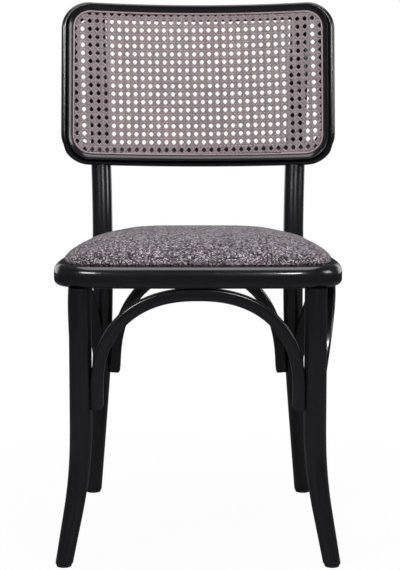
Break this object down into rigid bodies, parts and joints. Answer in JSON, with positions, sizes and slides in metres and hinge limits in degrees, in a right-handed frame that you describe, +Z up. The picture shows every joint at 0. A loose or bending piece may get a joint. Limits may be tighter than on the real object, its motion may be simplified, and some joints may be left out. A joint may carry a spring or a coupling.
{
  "type": "cane chair",
  "caption": "Armless dining chair: black bentwood legs with arched hoops under a padded fabric seat, and a curved wooden back frame filled with cane webbing.",
  "frame": {"origin": "middle of the chair's whole box, on the floor", "axes": "+Z up, -Y the side that the sitter faces, +X the chair's right in a view from its front"},
  "size_m": [0.4638, 0.5128, 0.8614],
  "materials": {
    "black_lacquer": "satin lacquer",
    "natural_cane": "matt",
    "grey_linen": "woven, matt",
    "upholstery_foam": "matt",
    "birch_plywood": "raw",
    "grey_plastic": "matt",
    "zinc_steel": "zinc plated"
  },
  "bodies": {
    "root": {"back_frame": "black_lacquer", "back_leg_left": "black_lacquer", "back_leg_right": "black_lacquer", "cane_panel": "natural_cane", "cane_spline": "natural_cane", "frame_screw_1": "zinc_steel", "frame_screw_2": "zinc_steel", "frame_screw_3": "zinc_steel", "frame_screw_4": "zinc_steel", "front_hoop": "black_lacquer", "front_leg_left": "black_lacquer", "front_leg_right": "black_lacquer", "glide_back_left": "grey_plastic", "glide_back_right": "grey_plastic", "glide_front_left": "grey_plastic", "glide_front_right": "grey_plastic", "hoop_leg_screw_1": "zinc_steel", "hoop_leg_screw_2": "zinc_steel", "hoop_leg_screw_3": "zinc_steel", "hoop_leg_screw_4": "zinc_steel", "hoop_leg_screw_5": "zinc_steel", "hoop_leg_screw_6": "zinc_steel", "hoop_leg_screw_7": "zinc_steel", "hoop_leg_screw_8": "zinc_steel", "hoop_ring_screw_1": "zinc_steel", "hoop_ring_screw_2": "zinc_steel", "hoop_ring_screw_3": "zinc_steel", "hoop_ring_screw_4": "zinc_steel", "left_hoop": "black_lacquer", "post_bolt_1": "zinc_steel", "post_bolt_2": "zinc_steel", "post_nut_1": "zinc_steel", "post_nut_2": "zinc_steel", "post_washer_1": "zinc_steel", "post_washer_2": "zinc_steel", "rear_hoop": "black_lacquer", "right_hoop": "black_lacquer", "seat_board": "birch_plywood", "seat_cover": "grey_linen", "seat_foam": "upholstery_foam", "seat_ring": "black_lacquer", "seat_screw_1": "zinc_steel", "seat_screw_2": "zinc_steel", "seat_screw_3": "zinc_steel", "seat_screw_4": "zinc_steel", "tenon_screw_1": "zinc_steel", "tenon_screw_2": "zinc_steel"}
  },
  "joints": []
}
